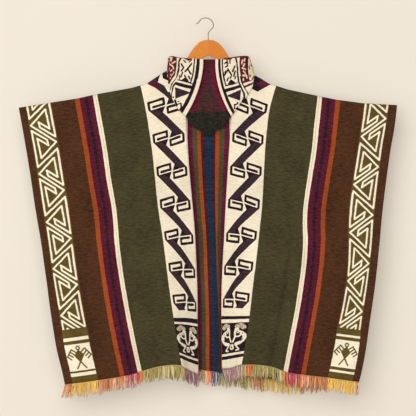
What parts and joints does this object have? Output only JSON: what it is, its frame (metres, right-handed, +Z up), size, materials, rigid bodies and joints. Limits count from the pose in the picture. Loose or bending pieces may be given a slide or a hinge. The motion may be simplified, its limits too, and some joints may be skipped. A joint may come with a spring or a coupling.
{
  "type": "hooded andean poncho on a wooden hanger",
  "caption": "Handwoven striped poncho, open down the front, with fringed hems and a patterned hood lying open, hung flat on a wooden hanger with a steel hook",
  "frame": {"origin": "inner top of the hanger's hook, where a rail bears", "axes": "+Z up, +X to the right seen from the front, the front faces -Y"},
  "size_m": [1.1869, 0.0837, 1.1995],
  "materials": {
    "cloth_green": "handwoven wool, dark olive with stripes",
    "hood_maroon": "handwoven wool, maroon and cream pattern",
    "fringe_gold": "twisted wool yarn in many colours",
    "wood": "clear varnished",
    "steel": "polished wire"
  },
  "bodies": {
    "root": {"front_left": "cloth_green", "front_right": "cloth_green", "back": "cloth_green", "hood_left": "hood_maroon", "hood_right": "hood_maroon", "hood_back": "hood_maroon", "fringe_front_left": "fringe_gold", "fringe_front_right": "fringe_gold", "fringe_back": "fringe_gold", "hanger_wood": "wood", "hanger_hook": "steel"}
  },
  "joints": []
}
